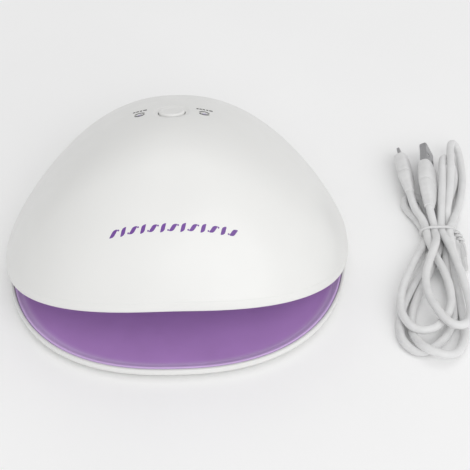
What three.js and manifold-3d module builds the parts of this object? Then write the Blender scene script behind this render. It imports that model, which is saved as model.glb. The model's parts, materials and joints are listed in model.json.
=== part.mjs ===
// Free-standing UV LED nail lamp with its USB power cable, in millimetres, +Z up.
// The origin is on the table under the middle of the lamp; the open mouth faces -Y.
import * as THREE from 'three';
import { mergeVertices } from 'three/addons/utils/BufferGeometryUtils.js';
import Module from 'manifold-3d';

const wasm = await Module();
wasm.setup();

// ---- driving dimensions ----
const HALF = 89; // half width of the outline, and its reach to the front
const BASE_INSET = 1.8; // the base sits in from the shell's outline
const BACK = HALF - BASE_INSET; // reach of the outline to the back
const CORNER = 2.4; // squareness of the outline, 2 is an ellipse
const REAR_TAPER = 0.28; // how much the outline narrows at the very back
const SKIRT_Z = 9; // lower edge of the upper shell
const DOME_RISE = 80; // rise of the untrimmed dome over the skirt
const DOME_FULLNESS = 1.9;
const DOME_SHARPNESS = 1.55;
const CAP_Z = 79.5; // height of the sloping cap surface at CAP_Y
const CAP_Y = 30;
const CAP_SLOPE = Math.tan(THREE.MathUtils.degToRad(22));
const CAP_CROWN = 0.009; // sideways curvature of the cap
const CAP_BLEND = 20; // width of the blend between dome and cap
const PEAK = 86.5; // highest point of the shell
const WALL = 2.4;
const GAP = 0.3;

const MOUTH_HALF = 90; // half width of the arched mouth
const MOUTH_FOOT = 3.4; // height where the arch springs
const MOUTH_RISE = 34;
const LINER_RISE = MOUTH_RISE + 8.6; // the reflector vault stands over the mouth arch
const LINER_INSET = 3.8;
const LINER_WALL = 1.6;
const LINER_FOOT = 6.7;
const CAVITY_REAR = 62; // back of the hand space

const BASE_Z = 1.4; // underside of the base
const PLATE_TOP = 3.2;
const RIM_INSET = 3.2; // inner edge of the base rim
const RIM_FRONT_Z = 6.4;
const RIM_REAR_Z = SKIRT_Z - GAP;
const TRAY_FLOOR_Z = 5;
const TRAY_UNDER_Z = PLATE_TOP + GAP;

const BUTTON_Y = 17;
const BUTTON_R = 6.4;
const BUTTON_TILT = THREE.MathUtils.degToRad(18.6);
const DISH_R = 9.6; // shallow dish around the button
const LIGHT_X = 16; // timer lights left and right of the button
const LIGHT_R = 1.1;

const BEAD_ROWS = [-38, -9, 20];
const SIDE_BEAD_ROWS = [-34, -10, 14];
const SIDE_BOARD_X = 58;
const BASE_SCREWS = [[61, 52], [26, 74]];
const LINER_SCREWS = [36, -44];
const FEET = [[56, -50], [44, 60]];

const CORD_R = 2.1;
const AROUND = 48; // facets around the outline
const DOME_RINGS = 9;

// ---- finishes ----
function finish(color, roughness, metalness = 0) {
  return new THREE.MeshStandardMaterial({ color, roughness, metalness });
}
const shellWhite = finish(0xf2f2f0, 0.28);
const reflectorWhite = finish(0xe9e6ee, 0.2);
const trayPurple = finish(0xa67bbd, 0.32);
const rubberGrey = finish(0x6d6f73, 0.85);
const boardGreen = finish(0x2f6b4a, 0.5);
const boardWhite = finish(0xe6e6e2, 0.45);
const lensClear = finish(0xd9d3f0, 0.1);
const darkPlastic = finish(0x2b2b2e, 0.5);
const steel = finish(0xb9bcc0, 0.3, 1);
const nickel = finish(0xa9abad, 0.35, 1);
const wireRed = finish(0xb03038, 0.5);
const cordWhite = finish(0xe9e9e9, 0.5);
const tieWhite = finish(0xdedede, 0.6);

// ---- solids ----
function toSolid(geometry) {
  const bare = new THREE.BufferGeometry();
  bare.setAttribute('position', geometry.getAttribute('position').clone());
  bare.setIndex(geometry.index);
  const merged = mergeVertices(bare, 1e-4);
  const vertices = merged.getAttribute('position').array;
  const corner = (i) => new THREE.Vector3().fromArray(vertices, 3 * i);
  const faces = [];
  let volume = 0;
  for (let i = 0; i < merged.index.count; i += 3) {
    const [a, b, c] = [0, 1, 2].map((k) => merged.index.getX(i + k));
    if (a === b || b === c || c === a) continue;
    faces.push([a, b, c]);
    volume += corner(a).dot(corner(b).cross(corner(c)));
  }
  const outward = volume > 0 ? faces : faces.map(([a, b, c]) => [a, c, b]);
  return new wasm.Manifold(new wasm.Mesh({
    numProp: 3,
    vertProperties: new Float32Array(vertices),
    triVerts: new Uint32Array(outward.flat()),
  }));
}

function toGeometry(solid) {
  const result = solid.getMesh();
  const geometry = new THREE.BufferGeometry();
  geometry.setAttribute('position', new THREE.BufferAttribute(result.vertProperties, 3));
  geometry.setIndex(new THREE.BufferAttribute(result.triVerts, 1));
  geometry.computeVertexNormals();
  return geometry;
}

// A lathe whose points are moved by place(radius, angle, height) to [x, y, z].
function turned(profile, segments, place) {
  const points = profile.map(([radius, height]) => new THREE.Vector2(radius, height));
  const lathe = new THREE.LatheGeometry(points, segments);
  const position = lathe.getAttribute('position');
  for (let i = 0; i < position.count; i += 1) {
    const [x, z] = [position.getX(i), position.getZ(i)];
    position.setXYZ(i, ...place(Math.hypot(x, z), Math.atan2(z, x), position.getY(i)));
  }
  return toSolid(lathe);
}

function round(profile, segments = 24) {
  const place = (radius, angle, height) => [radius * Math.cos(angle), radius * Math.sin(angle), height];
  return turned(profile, segments, place);
}

function rod(radius, bottom, top, segments = 20) {
  return round([[0, bottom], [radius, bottom], [radius, top], [0, top]], segments);
}

function block(sizeX, sizeY, sizeZ, x = 0, y = 0, z = 0) {
  const box = new THREE.BoxGeometry(sizeX, sizeY, sizeZ);
  box.translate(x, y, z);
  return toSolid(box);
}

function plate(shape, bottom, top) {
  const slab = new THREE.ExtrudeGeometry(shape, { depth: top - bottom, bevelEnabled: false, curveSegments: 12 });
  slab.translate(0, 0, bottom);
  return toSolid(slab);
}

function tube(points, radius, sides, steps) {
  const path = new THREE.CatmullRomCurve3(points.map((p) => new THREE.Vector3(...p)));
  const section = new THREE.Shape();
  section.absarc(0, 0, radius, 0, 2 * Math.PI, false);
  const options = { steps, extrudePath: path, bevelEnabled: false, curveSegments: sides / 2 };
  return toSolid(new THREE.ExtrudeGeometry(section, options));
}

const rounded = (value, power) => Math.sign(value) * Math.abs(value) ** power;

// ---- the lamp's outline and dome ----
const reachOf = (y) => (y < 0 ? HALF : BACK);
const widthAt = (y) => HALF * (1 - REAR_TAPER * (Math.max(y, 0) / BACK) ** 1.5);

function outline(angle) {
  const y = reachOf(Math.sin(angle)) * rounded(Math.sin(angle), 2 / CORNER);
  return [widthAt(y) * rounded(Math.cos(angle), 2 / CORNER), y];
}

// How far out a point is, as a share of the way from the middle to the outline.
function shareAt(x, y) {
  return (Math.abs(x / widthAt(y)) ** CORNER + Math.abs(y / reachOf(y)) ** CORNER) ** (1 / CORNER);
}

function smoothMin(a, b, width) {
  const mix = THREE.MathUtils.clamp(0.5 + (b - a) / (2 * width), 0, 1);
  return b * (1 - mix) + a * mix - width * mix * (1 - mix);
}

// Height of the outer surface over a point that is `share` of the way out to the outline.
function domeHeight(x, y, share) {
  const rise = Math.max(1 - share ** DOME_FULLNESS, 0) ** (1 / DOME_SHARPNESS);
  const dome = SKIRT_Z + DOME_RISE * rise;
  const cap = CAP_Z - CAP_SLOPE * (y - CAP_Y) - CAP_CROWN * x * x;
  return Math.max(smoothMin(dome, cap, CAP_BLEND), SKIRT_Z);
}

// The solid under the dome, everything moved in by `inset`, down to the height `foot`.
function domeSolid(inset, foot) {
  const profile = [[0, 0], [1, 0]];
  for (let ring = 0; ring <= DOME_RINGS; ring += 1) {
    profile.push([Math.cos((ring / DOME_RINGS) * Math.PI / 2), 1]);
  }
  profile[profile.length - 1][0] = 0;
  const flatten = (PEAK - SKIRT_Z - inset) / (PEAK - SKIRT_Z);
  return turned(profile, AROUND, (share, angle, level) => {
    const [x, y] = outline(angle).map((value) => value * share);
    const top = SKIRT_Z + (domeHeight(x, y, share) - SKIRT_Z) * flatten;
    const shrink = (HALF - inset) / HALF;
    return [x * shrink, y * shrink, level > 0 ? top : foot];
  });
}

function wallTop(y) {
  return THREE.MathUtils.lerp(RIM_FRONT_Z, RIM_REAR_Z, THREE.MathUtils.smoothstep(y, -30, 0));
}

// A dish that follows the outline; profile rows are [inset from the outline, height].
function dish(profile) {
  const shares = profile.map(([inset, height]) => [inset === null ? 0 : (HALF - inset) / HALF, height]);
  return turned(shares, AROUND, (share, angle, height) => {
    const [x, y] = outline(angle).map((value) => value * share);
    const isWallTop = height >= RIM_FRONT_Z;
    return [x, y, isWallTop ? Math.min(wallTop(y), height) : height];
  });
}

function arch(rise, back) {
  const shape = new THREE.Shape();
  shape.moveTo(-MOUTH_HALF, MOUTH_FOOT - 8);
  shape.lineTo(MOUTH_HALF, MOUTH_FOOT - 8);
  shape.lineTo(MOUTH_HALF, MOUTH_FOOT);
  shape.absellipse(0, MOUTH_FOOT, MOUTH_HALF, rise, 0, Math.PI, false);
  shape.lineTo(-MOUTH_HALF, MOUTH_FOOT - 8);
  const options = { depth: 100 + back, bevelEnabled: false, curveSegments: 32 };
  const tunnel = new THREE.ExtrudeGeometry(shape, options);
  tunnel.rotateX(Math.PI / 2);
  tunnel.translate(0, back, 0);
  return toSolid(tunnel);
}

// Everything in front of the back wall of the hand space, moved in by `inset`.
function cavityPlan(inset) {
  const side = HALF - LINER_INSET - inset + 1;
  const shape = new THREE.Shape();
  shape.moveTo(-side, -HALF - 2);
  shape.lineTo(side, -HALF - 2);
  shape.lineTo(side, 0);
  shape.absellipse(0, 0, side, CAVITY_REAR - inset, 0, Math.PI, false);
  shape.lineTo(-side, -HALF - 2);
  return plate(shape, 0, PEAK);
}

// ---- assembly helpers ----
const lamp = new THREE.Group();

function add(name, solid, material, parent = lamp) {
  const mesh = new THREE.Mesh(toGeometry(solid), material);
  mesh.name = name;
  parent.add(mesh);
  return mesh;
}

const bothSides = [['left', -1], ['right', 1]];
const buttonFrame = new THREE.Group();
buttonFrame.position.set(0, BUTTON_Y, domeHeight(0, BUTTON_Y, shareAt(0, BUTTON_Y)));
buttonFrame.rotation.x = -BUTTON_TILT;
buttonFrame.updateMatrixWorld();
lamp.add(buttonFrame);

function inLamp(solid) {
  const geometry = toGeometry(solid);
  geometry.applyMatrix4(buttonFrame.matrixWorld);
  return toSolid(geometry);
}

// Height of the outer surface over the button's own plane, at a point of that plane.
function capDrop(x, y) {
  let drop = 0;
  for (let pass = 0; pass < 8; pass += 1) {
    const point = new THREE.Vector3(x, y, drop).applyMatrix4(buttonFrame.matrixWorld);
    drop += domeHeight(point.x, point.y, shareAt(point.x, point.y)) - point.z;
  }
  return drop;
}

// ---- upper shell ----
const BOSS_R = 3.6;
const SCREW_HOLE_R = 1.5;
const POST_FOOT = 43.2;
const BOARD_TOP = -9.6; // top face of the control board under the button
const BOARD_POSTS = [[-18, -7], [18, -7]];

function upperShell() {
  let posts = null;
  const join = (post) => {
    posts = posts ? posts.add(post) : post;
  };
  for (const [, side] of bothSides) {
    for (const [x, y] of BASE_SCREWS) {
      join(rod(BOSS_R, SKIRT_Z, PEAK).translate(side * x, y, 0));
    }
    join(rod(3, POST_FOOT, PEAK).translate(side * LINER_SCREWS[0], LINER_SCREWS[1], 0));
  }
  for (const [x, y] of BOARD_POSTS) {
    join(inLamp(rod(2.4, BOARD_TOP + GAP, 6).translate(x, y, 0)));
  }
  const skin = domeSolid(0, SKIRT_Z).subtract(domeSolid(WALL, SKIRT_Z - 4));
  let shell = skin.add(posts.intersect(domeSolid(WALL / 2, SKIRT_Z)));
  shell = shell.subtract(arch(MOUTH_RISE, 0));
  for (const [, side] of bothSides) {
    for (const [x, y] of BASE_SCREWS) {
      shell = shell.subtract(rod(SCREW_HOLE_R, SKIRT_Z - 1, 18, 12).translate(side * x, y, 0));
    }
    const [x, y] = LINER_SCREWS;
    shell = shell.subtract(rod(SCREW_HOLE_R, POST_FOOT - 1, 52, 12).translate(side * x, y, 0));
    const window = rod(LIGHT_R + GAP, -6, 4, 12).translate(side * LIGHT_X, 0, 0);
    shell = shell.subtract(inLamp(window));
  }
  for (const [x, y] of BOARD_POSTS) {
    shell = shell.subtract(inLamp(rod(1, BOARD_TOP, BOARD_TOP + 5, 10).translate(x, y, 0)));
  }
  const dishCut = [[0, -0.7], [BUTTON_R + 0.8, -0.7], [DISH_R, 0.05], [DISH_R + 6, 4], [0, 4]];
  shell = shell.subtract(inLamp(round(dishCut, 36)));
  shell = shell.subtract(inLamp(rod(BUTTON_R + 0.35, -6, 4, 36)));
  return shell.subtract(block(SOCKET.x + 1, 12, SOCKET.z + 1, 0, HALF, SOCKET.height));
}

// ---- button, switch, control board and timer lights, in the button's own plane ----
const SWITCH_TOP = -6.9;

function buildControls() {
  const cap = round([
    [0, -6.3], [1.6, -6.3], [1.6, -4.4], [7.6, -4.4], [7.6, -3.6], [BUTTON_R, -3.6],
    [BUTTON_R, 0.1], [BUTTON_R - 0.6, 0.55], [3.4, 0.7], [0, 0.72],
  ], 36);
  add('power_button', cap, shellWhite, buttonFrame);
  add('switch_plunger', rod(1.6, -8.2, -6.6, 16), darkPlastic, buttonFrame);
  const well = rod(1.9, BOARD_TOP + 0.5, SWITCH_TOP + 1, 16);
  const body = block(6, 6, SWITCH_TOP - BOARD_TOP - GAP, 0, 0, (SWITCH_TOP + BOARD_TOP + GAP) / 2);
  add('switch_body', body.subtract(well), darkPlastic, buttonFrame);

  let board = block(44, 22, 1.6, 0, 0, BOARD_TOP - 0.8);
  for (const [x, y] of BOARD_POSTS) {
    board = board.subtract(rod(1.3, BOARD_TOP - 3, BOARD_TOP + 1, 10).translate(x, y, 0));
  }
  add('control_board', board, boardGreen, buttonFrame);
  add('driver_chip', block(5, 6.2, 1.5, -9.5, 2, BOARD_TOP + GAP + 0.75), darkPlastic, buttonFrame);

  for (const [side, sign] of bothSides) {
    const top = capDrop(sign * LIGHT_X, 0) - 0.05;
    const chip = block(2, 1.6, 0.9, sign * LIGHT_X, 0, BOARD_TOP + GAP + 0.45);
    const pipe = rod(LIGHT_R, BOARD_TOP + 1.6, top, 12).translate(sign * LIGHT_X, 0, 0);
    add(`timer_light_${side}`, pipe, lensClear, buttonFrame);
    add(`timer_led_${side}`, chip, boardWhite, buttonFrame);
    const [x, y] = BOARD_POSTS[sign < 0 ? 0 : 1];
    const screw = round([
      [0, BOARD_TOP - 3.4], [2, BOARD_TOP - 3.4], [2, BOARD_TOP - 1.9], [0.8, BOARD_TOP - 1.9],
      [0.8, BOARD_TOP + 4], [0, BOARD_TOP + 4],
    ], 12).translate(x, y, 0);
    add(`board_screw_${side}`, screw, steel, buttonFrame);
  }
}

// ---- reflector, LED boards and beads ----
const CENTRE_BOARD_Z = MOUTH_FOOT + LINER_RISE + 0.4;
const BEAD_X = 12;

function vaultPoint(x) {
  const climb = Math.sqrt(1 - (x / MOUTH_HALF) ** 2);
  const tilt = Math.atan((x / MOUTH_HALF ** 2) / (climb / LINER_RISE));
  return { z: MOUTH_FOOT + LINER_RISE * climb, tilt };
}

// The frame of an LED board: its underside is just over the reflector, -Z shines into the hand space.
function boardFrame(x) {
  const { z, tilt } = vaultPoint(Math.abs(x));
  const frame = new THREE.Group();
  const lift = x === 0 ? CENTRE_BOARD_Z - z : 1.1;
  const lean = Math.sign(x) * tilt;
  frame.position.set(x + lift * Math.sin(lean), 0, z + lift * Math.cos(lean));
  frame.rotation.y = lean;
  frame.updateMatrixWorld();
  lamp.add(frame);
  return frame;
}

function moved(solid, frame) {
  const geometry = toGeometry(solid);
  geometry.applyMatrix4(frame.matrixWorld);
  return toSolid(geometry);
}

function buildLighting() {
  const frames = {
    centre: { frame: boardFrame(0), columns: [-BEAD_X, BEAD_X], rows: BEAD_ROWS, width: 38 },
    left: { frame: boardFrame(-SIDE_BOARD_X), columns: [0], rows: SIDE_BEAD_ROWS, width: 14 },
    right: { frame: boardFrame(SIDE_BOARD_X), columns: [0], rows: SIDE_BEAD_ROWS, width: 14 },
  };
  const inset = LINER_INSET + LINER_WALL;
  const outer = arch(LINER_RISE, HALF).intersect(domeSolid(LINER_INSET, LINER_FOOT)).intersect(cavityPlan(0));
  const inner = arch(LINER_RISE - LINER_WALL, HALF).intersect(domeSolid(inset, LINER_FOOT - 3))
    .intersect(cavityPlan(LINER_WALL));
  let liner = outer.subtract(inner).subtract(arch(MOUTH_RISE, 0));
  liner = liner.subtract(block(4 * HALF, 4 * HALF, LINER_FOOT, 0, 0, LINER_FOOT / 2));
  const bead = [[0, -4.2], [1.5, -3.8], [2.4, -2.8], [2.7, -1.6], [2.7, -GAP], [0, -GAP]];
  for (const [side, { frame, columns, rows, width }] of Object.entries(frames)) {
    const length = rows[2] - rows[0] + 16;
    const board = block(width, length, 1.2, 0, rows[1], 0.6);
    add(`led_board_${side}`, board, boardWhite, frame);
    let count = 0;
    for (const x of columns) {
      for (const y of rows) {
        count += 1;
        add(`led_bead_${side}_${count}`, round(bead, 12).translate(x, y, 0), lensClear, frame);
        liner = liner.subtract(moved(rod(3.2, -7, 0.2, 16).translate(x, y, 0), frame));
      }
    }
  }
  const [x, y] = LINER_SCREWS;
  for (const [side, sign] of bothSides) {
    liner = liner.subtract(rod(SCREW_HOLE_R, 30, 60, 12).translate(sign * x, y, 0));
    const seat = vaultPoint(x).z - LINER_WALL - 0.9;
    const screw = round([
      [0, seat - 1.6], [2.6, seat - 1.6], [2.8, seat], [1.2, seat], [1.2, seat + 9.5], [0, seat + 9.5],
    ], 12);
    add(`reflector_screw_${side}`, screw.translate(sign * x, y, 0), steel);
  }
  add('inner_reflector', liner, reflectorWhite);
}

// ---- base, tray, feet and base screws ----
function buildBase() {
  let base = dish([
    [null, BASE_Z], [6, BASE_Z], [3, BASE_Z + 0.8], [BASE_INSET, BASE_Z + 2.4], [BASE_INSET, RIM_REAR_Z],
    [RIM_INSET, RIM_REAR_Z], [RIM_INSET, PLATE_TOP], [null, PLATE_TOP],
  ]);
  for (const [side, sign] of bothSides) {
    for (const [x, y] of BASE_SCREWS) {
      const boss = rod(4.2, PLATE_TOP - 0.5, RIM_REAR_Z - GAP, 16).translate(sign * x, y, 0);
      base = base.add(boss.intersect(domeSolid(RIM_INSET - 0.5, 0)));
      base = base.subtract(rod(SCREW_HOLE_R, 0, RIM_REAR_Z, 12).translate(sign * x, y, 0));
      base = base.subtract(rod(3.1, 0, 4.6, 16).translate(sign * x, y, 0));
      const row = y < 60 ? 'side' : 'rear';
      const screw = round([[0, 2.7], [2.8, 2.7], [2.8, 4.3], [1.2, 4.3], [1.2, 16], [0, 16]], 12);
      add(`base_screw_${row}_${side}`, screw.translate(sign * x, y, 0), steel);
    }
    for (const [x, y] of FEET) {
      base = base.subtract(rod(5.3, 0, 2.3, 20).translate(sign * x, y, 0));
      const row = y < 0 ? 'front' : 'rear';
      const foot = round([[0, 0], [4.4, 0], [5, 0.6], [5, 2], [0, 2]], 20);
      add(`rubber_foot_${row}_${side}`, foot.translate(sign * x, y, 0), rubberGrey);
    }
  }
  add('base_shell', base, shellWhite);
  const tray = dish([
    [null, TRAY_UNDER_Z], [4.2, TRAY_UNDER_Z], [RIM_INSET + GAP, TRAY_UNDER_Z + 0.7],
    [RIM_INSET + GAP, RIM_FRONT_Z], [4.3, RIM_FRONT_Z], [5.4, 5.7], [7.2, 5.15], [9.5, TRAY_FLOOR_Z],
    [null, TRAY_FLOOR_Z],
  ]);
  add('floor_tray', tray.intersect(cavityPlan(0)), trayPurple);
}

// ---- power socket and inner wiring ----
const SOCKET = { x: 7.5, z: 2.8, depth: 6, height: 17.2 };
const SOCKET_BOARD_TOP = SOCKET.height - SOCKET.z / 2 - GAP;

function buildPower() {
  const back = BACK - 4.6;
  const can = block(SOCKET.x, SOCKET.depth, SOCKET.z, 0, back - SOCKET.depth / 2, SOCKET.height);
  const mouth = block(SOCKET.x - 0.7, SOCKET.depth, SOCKET.z - 0.7, 0, back - SOCKET.depth / 2 + 1, SOCKET.height);
  add('power_socket', can.subtract(mouth), nickel);
  const tongue = block(3.6, SOCKET.depth - 2.2, 0.6, 0, back - SOCKET.depth / 2 + 0.4, SOCKET.height);
  add('power_socket_tongue', tongue, darkPlastic);
  add('socket_board', block(18, 17, 1.4, 0, back - 9, SOCKET_BOARD_TOP - 0.7), boardGreen);
  const wire = 1;
  add('power_wire', tube([
    [5, 70, SOCKET_BOARD_TOP + 1.4], [5.5, 68, 28], [6, 66.5, 42], [6.5, 61, 50], [7, 48, 56], [8, 34, 60], [9, 25, 62.5],
  ], wire, 8, 24), wireRed);
  add('led_wire_centre', tube([
    [-8, 12, 66], [-8, 14, 60], [-8, 16, 54], [-8, 17, CENTRE_BOARD_Z + 2.6],
  ], wire, 8, 12), wireRed);
  for (const [side, sign] of bothSides) {
    const { z } = vaultPoint(SIDE_BOARD_X);
    add(`led_wire_${side}`, tube([
      [sign * 17.5, -9, CENTRE_BOARD_Z + 2.6], [sign * 28, -9, CENTRE_BOARD_Z + 3],
      [sign * 40, -9, CENTRE_BOARD_Z], [sign * 52, -9, z + 8.5],
    ], wire, 8, 14), wireRed);
  }
}

// ---- the loose USB cable, lying to the right of the lamp ----
const TIE_Y = 4.5;
const WAIST = { left: 128.9, right: 145.4, rear: 9 };
const HANK_FLOOR = 0.3;
const WAIST_TOP = 8.8; // two strands deep where the tie goes round
const LOWER_TOP = 12.9; // the front loops cross three deep
const UPPER_TOP = 14.8; // the rear loops lean on their sides
const UNDER_TOP = 4.4; // the loop under the plugs is one strand deep
const A_PLUG = { x: 138.1, y: 53.5, z: 8.8, turn: -6.2, roll: 62, rise: 3.6 };
const MICRO_PLUG = { x: 125.3, y: 64.8, z: 6.4, turn: 1, roll: 64, rise: 4.6 };

// The frame of a plug: +Y points out along its metal end, X is its wide side before it rolls.
function plugFrame({ x, y, z, turn, roll, rise }) {
  const frame = new THREE.Group();
  const [pitch, spin, heading] = [-rise, roll, turn].map(THREE.MathUtils.degToRad);
  frame.position.set(x, y, z);
  frame.rotation.set(pitch, spin, heading, 'ZXY');
  lamp.add(frame);
  return frame;
}

// A moulded grip: profile rows are [half width, half thickness, distance behind the metal end].
function grip(rows, power) {
  const first = [0, rows[0][2]];
  const last = [0, rows[rows.length - 1][2]];
  const profile = [first, ...rows.map(([, , back], index) => [index + 1, back]), last];
  return turned(profile, 20, (index, angle, back) => {
    const row = rows[Math.round(index) - 1] ?? [0, 0];
    const x = row[0] * rounded(Math.cos(angle), power);
    return [x, -back, row[1] * rounded(Math.sin(angle), power)];
  });
}

function hank(points, top) {
  const shape = new THREE.Shape();
  shape.setFromPoints(new THREE.CatmullRomCurve3(
    points.map(([x, y]) => new THREE.Vector3(x, y, 0)), true, 'centripetal',
  ).getPoints(40).slice(0, 40).map(({ x, y }) => new THREE.Vector2(x, y)));
  return plate(shape, HANK_FLOOR, top);
}

function buildCable() {
  const aFrame = plugFrame(A_PLUG);
  const shellOuter = block(12, 16.4, 4.5, 0, 8.2 + GAP, 0);
  add('usb_a_shell', shellOuter.subtract(block(11.2, 16, 3.7, 0, 9.5, 0)), nickel, aFrame);
  add('usb_a_tongue', block(10.6, 11, 1.6, 0, 7.5, -0.8), darkPlastic, aFrame);
  add('usb_a_overmold', grip([
    [6.4, 2.8, 0], [7.4, 3.8, 0.9], [7.6, 4, 3], [7.6, 4, 17.5], [7, 3.7, 19], [6.4, 3.6, 22],
    [5.2, 3.4, 27], [3.2, 2.9, 32], [2.5, 2.5, 35],
  ], 0.6), cordWhite, aFrame);

  const microFrame = plugFrame(MICRO_PLUG);
  const tip = block(6.8, 7, 1.8, 0, 3.5 + GAP, 0);
  add('micro_usb_shell', tip.subtract(block(6.2, 6, 1.2, 0, 4.9, 0)), nickel, microFrame);
  add('micro_usb_overmold', grip([
    [4.6, 2.8, 0], [5.5, 3.6, 0.9], [5.7, 3.9, 2.5], [5.7, 3.9, 17], [5.2, 3.8, 18.2], [5, 3.6, 22],
    [3.6, 3, 27], [2.4, 2.4, 31],
  ], 0.65), cordWhite, microFrame);

  add('usb_a_lead', tube([
    [134.4, 17.7, 10.9], [134.9, 14.4, 9.4], [135.9, 11.2, 7.3], [136.2, 10, 7],
  ], CORD_R, 8, 8), cordWhite);
  add('micro_usb_lead', tube([
    [125.9, 33.3, 8.9], [126.3, 29, 8.3], [127.8, 21, 7.3], [130.9, 13, 7], [131.5, 10, 6.9],
  ], CORD_R, 8, 12), cordWhite);

  const { left, right, rear } = WAIST;
  const notch = block(40, 4.4, 2.1, 137, TIE_Y, 1.05);
  const strapSide = block(80, 40, LOWER_TOP, 137, 20, WAIST_TOP + LOWER_TOP / 2);
  const behindWaist = block(80, 40, 60, 137, rear + 20, 0);
  const inFrontOfLoops = block(80, 40, 60, 137, rear + GAP - 20, 0);
  add('hank_lower', hank([
    [left, rear], [(left + right) / 2, rear], [right - 0.5, rear], [right - 0.5, 1], [146.4, -20], [147.7, -38],
    [147, -56], [141.4, -73], [128.5, -82.4], [113, -78.6], [107.6, -66], [108.4, -46], [116.8, -24], [left, 1],
  ], LOWER_TOP).subtract(behindWaist).subtract(strapSide).subtract(notch), cordWhite);
  add('hank_upper', hank([
    [138.9, 4], [139.8, 16], [141.6, 28], [144.1, 44], [146.4, 62], [149.6, 72], [154.6, 77], [159.4, 75.6],
    [161.4, 66], [160.8, 52], [157, 36], [151.4, 20], [147, 10], [146, 4],
  ], UPPER_TOP).subtract(inFrontOfLoops), cordWhite);
  add('hank_under', hank([
    [126.5, 4], [122.5, 16], [120.9, 27], [121.6, 35], [127, 38.8], [133, 36], [136.2, 28], [137.4, 4],
  ], UNDER_TOP).subtract(inFrontOfLoops), cordWhite);

  const wire = 1.1;
  const [floor, roof] = [HANK_FLOOR, WAIST_TOP + GAP];
  const band = block(right - left + 2 * (GAP + wire), 2.4, roof + wire - floor,
    (left + right) / 2, TIE_Y, (roof + wire + floor) / 2);
  const hole = block(right - left + 2 * GAP, 6, roof - floor - wire,
    (left + right) / 2, TIE_Y, (roof + floor + wire) / 2);
  const twist = tube([
    [right + 0.9, TIE_Y, 7], [right + 2.6, 2.6, 6], [149.6, 0.4, 4], [150.2, -6, 2.2], [149.4, -14, 1.9],
    [148.8, -21.4, 1.6],
  ], 1.2, 8, 16);
  add('cable_tie', band.subtract(hole).add(twist), tieWhite);
}

add('upper_shell', upperShell(), shellWhite);
buildControls();
buildLighting();
buildBase();
buildPower();
buildCable();

export default lamp;
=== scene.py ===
"""The looks of a UV LED nail lamp and its USB cable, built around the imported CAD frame.

Lengths are in millimetres and become metres when a mesh or curve is made. The camera, the lights and the
floor are placed in metres. +Z is up, and the mouth faces -Y.
"""
import json
import math

import bpy
import numpy as np
from mathutils import Matrix, Vector


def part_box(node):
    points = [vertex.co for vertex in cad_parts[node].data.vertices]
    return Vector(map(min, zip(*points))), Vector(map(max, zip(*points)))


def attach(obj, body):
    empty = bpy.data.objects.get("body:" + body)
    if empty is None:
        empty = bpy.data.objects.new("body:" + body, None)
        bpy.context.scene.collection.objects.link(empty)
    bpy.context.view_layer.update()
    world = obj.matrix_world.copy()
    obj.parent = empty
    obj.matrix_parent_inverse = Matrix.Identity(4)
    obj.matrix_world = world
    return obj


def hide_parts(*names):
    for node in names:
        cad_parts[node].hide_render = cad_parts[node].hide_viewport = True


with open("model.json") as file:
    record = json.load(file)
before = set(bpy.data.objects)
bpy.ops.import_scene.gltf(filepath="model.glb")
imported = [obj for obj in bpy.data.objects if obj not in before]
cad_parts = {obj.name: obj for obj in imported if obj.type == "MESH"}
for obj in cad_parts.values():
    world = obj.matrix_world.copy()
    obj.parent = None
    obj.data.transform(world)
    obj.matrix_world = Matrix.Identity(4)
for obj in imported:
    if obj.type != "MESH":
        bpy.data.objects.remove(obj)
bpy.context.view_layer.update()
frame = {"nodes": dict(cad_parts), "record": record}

MM = 0.001

# ---- the CAD's driving dimensions, which the fine surfaces follow ----
HALF = 89
BACK = 87.2
CORNER = 2.4
REAR_TAPER = 0.28
SKIRT_Z = 9
DOME_RISE = 80
DOME_FULLNESS = 1.9
DOME_SHARPNESS = 1.55
CAP_Z = 79.5
CAP_Y = 30
CAP_SLOPE = math.tan(math.radians(22))
CAP_CROWN = 0.009
CAP_BLEND = 20
PEAK = 86.5
WALL = 2.4
MOUTH_HALF = 90
MOUTH_FOOT = 3.4
MOUTH_RISE = 34
VAULT_RISE = 42.6
LINER_INSET = 3.8
LINER_WALL = 1.6
LINER_FOOT = 6.7
CAVITY_REAR = 62
BASE_Z = 1.4
PLATE_TOP = 3.2
BASE_INSET = 1.8
RIM_INSET = 3.2
RIM_FRONT_Z = 6.4
RIM_REAR_Z = 8.7
TRAY_FLOOR_Z = 5
TRAY_UNDER_Z = 3.5
GAP = 0.3
BUTTON_Y = 17
BUTTON_R = 6.4
BUTTON_TILT = math.radians(18.6)
BOARD_TOP = -9.6  # the control board's top face, under the button's own plane
DISH_R = 9.6
DISH_DEPTH = 0.7
LIGHT_X = 16
BEAD_ROWS = (-38, -9, 20)
SIDE_BEAD_ROWS = (-34, -10, 14)
BEAD_X = 12
SIDE_BOARD_X = 58
BASE_SCREWS = {"side": (61, 52), "rear": (26, 74)}
FEET = {"front": (56, -50), "rear": (44, 60)}
SIDES = {"left": -1, "right": 1}

AROUND = 256  # columns of the fine surfaces


# ---- camera ----
VIEW_TILT = math.radians(43.3)
VIEW_ROLL = math.radians(-1.34)
VIEW_AIM = Vector((29.8, 5.85, 6.0)) * MM
VIEW_DISTANCE = 0.6186
VIEW_LENS = 89.28
VIEW_SENSOR = 36


def add_camera():
    data = bpy.data.cameras.new("camera")
    data.lens = VIEW_LENS
    data.sensor_width = VIEW_SENSOR
    camera = bpy.data.objects.new("camera", data)
    turn = Matrix.Rotation(math.pi / 2 - VIEW_TILT, 4, "X") @ Matrix.Rotation(VIEW_ROLL, 4, "Z")
    back = turn @ Vector((0, 0, 1))
    camera.matrix_world = Matrix.Translation(VIEW_AIM + VIEW_DISTANCE * back) @ turn
    bpy.context.scene.collection.objects.link(camera)
    bpy.context.scene.camera = camera


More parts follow.
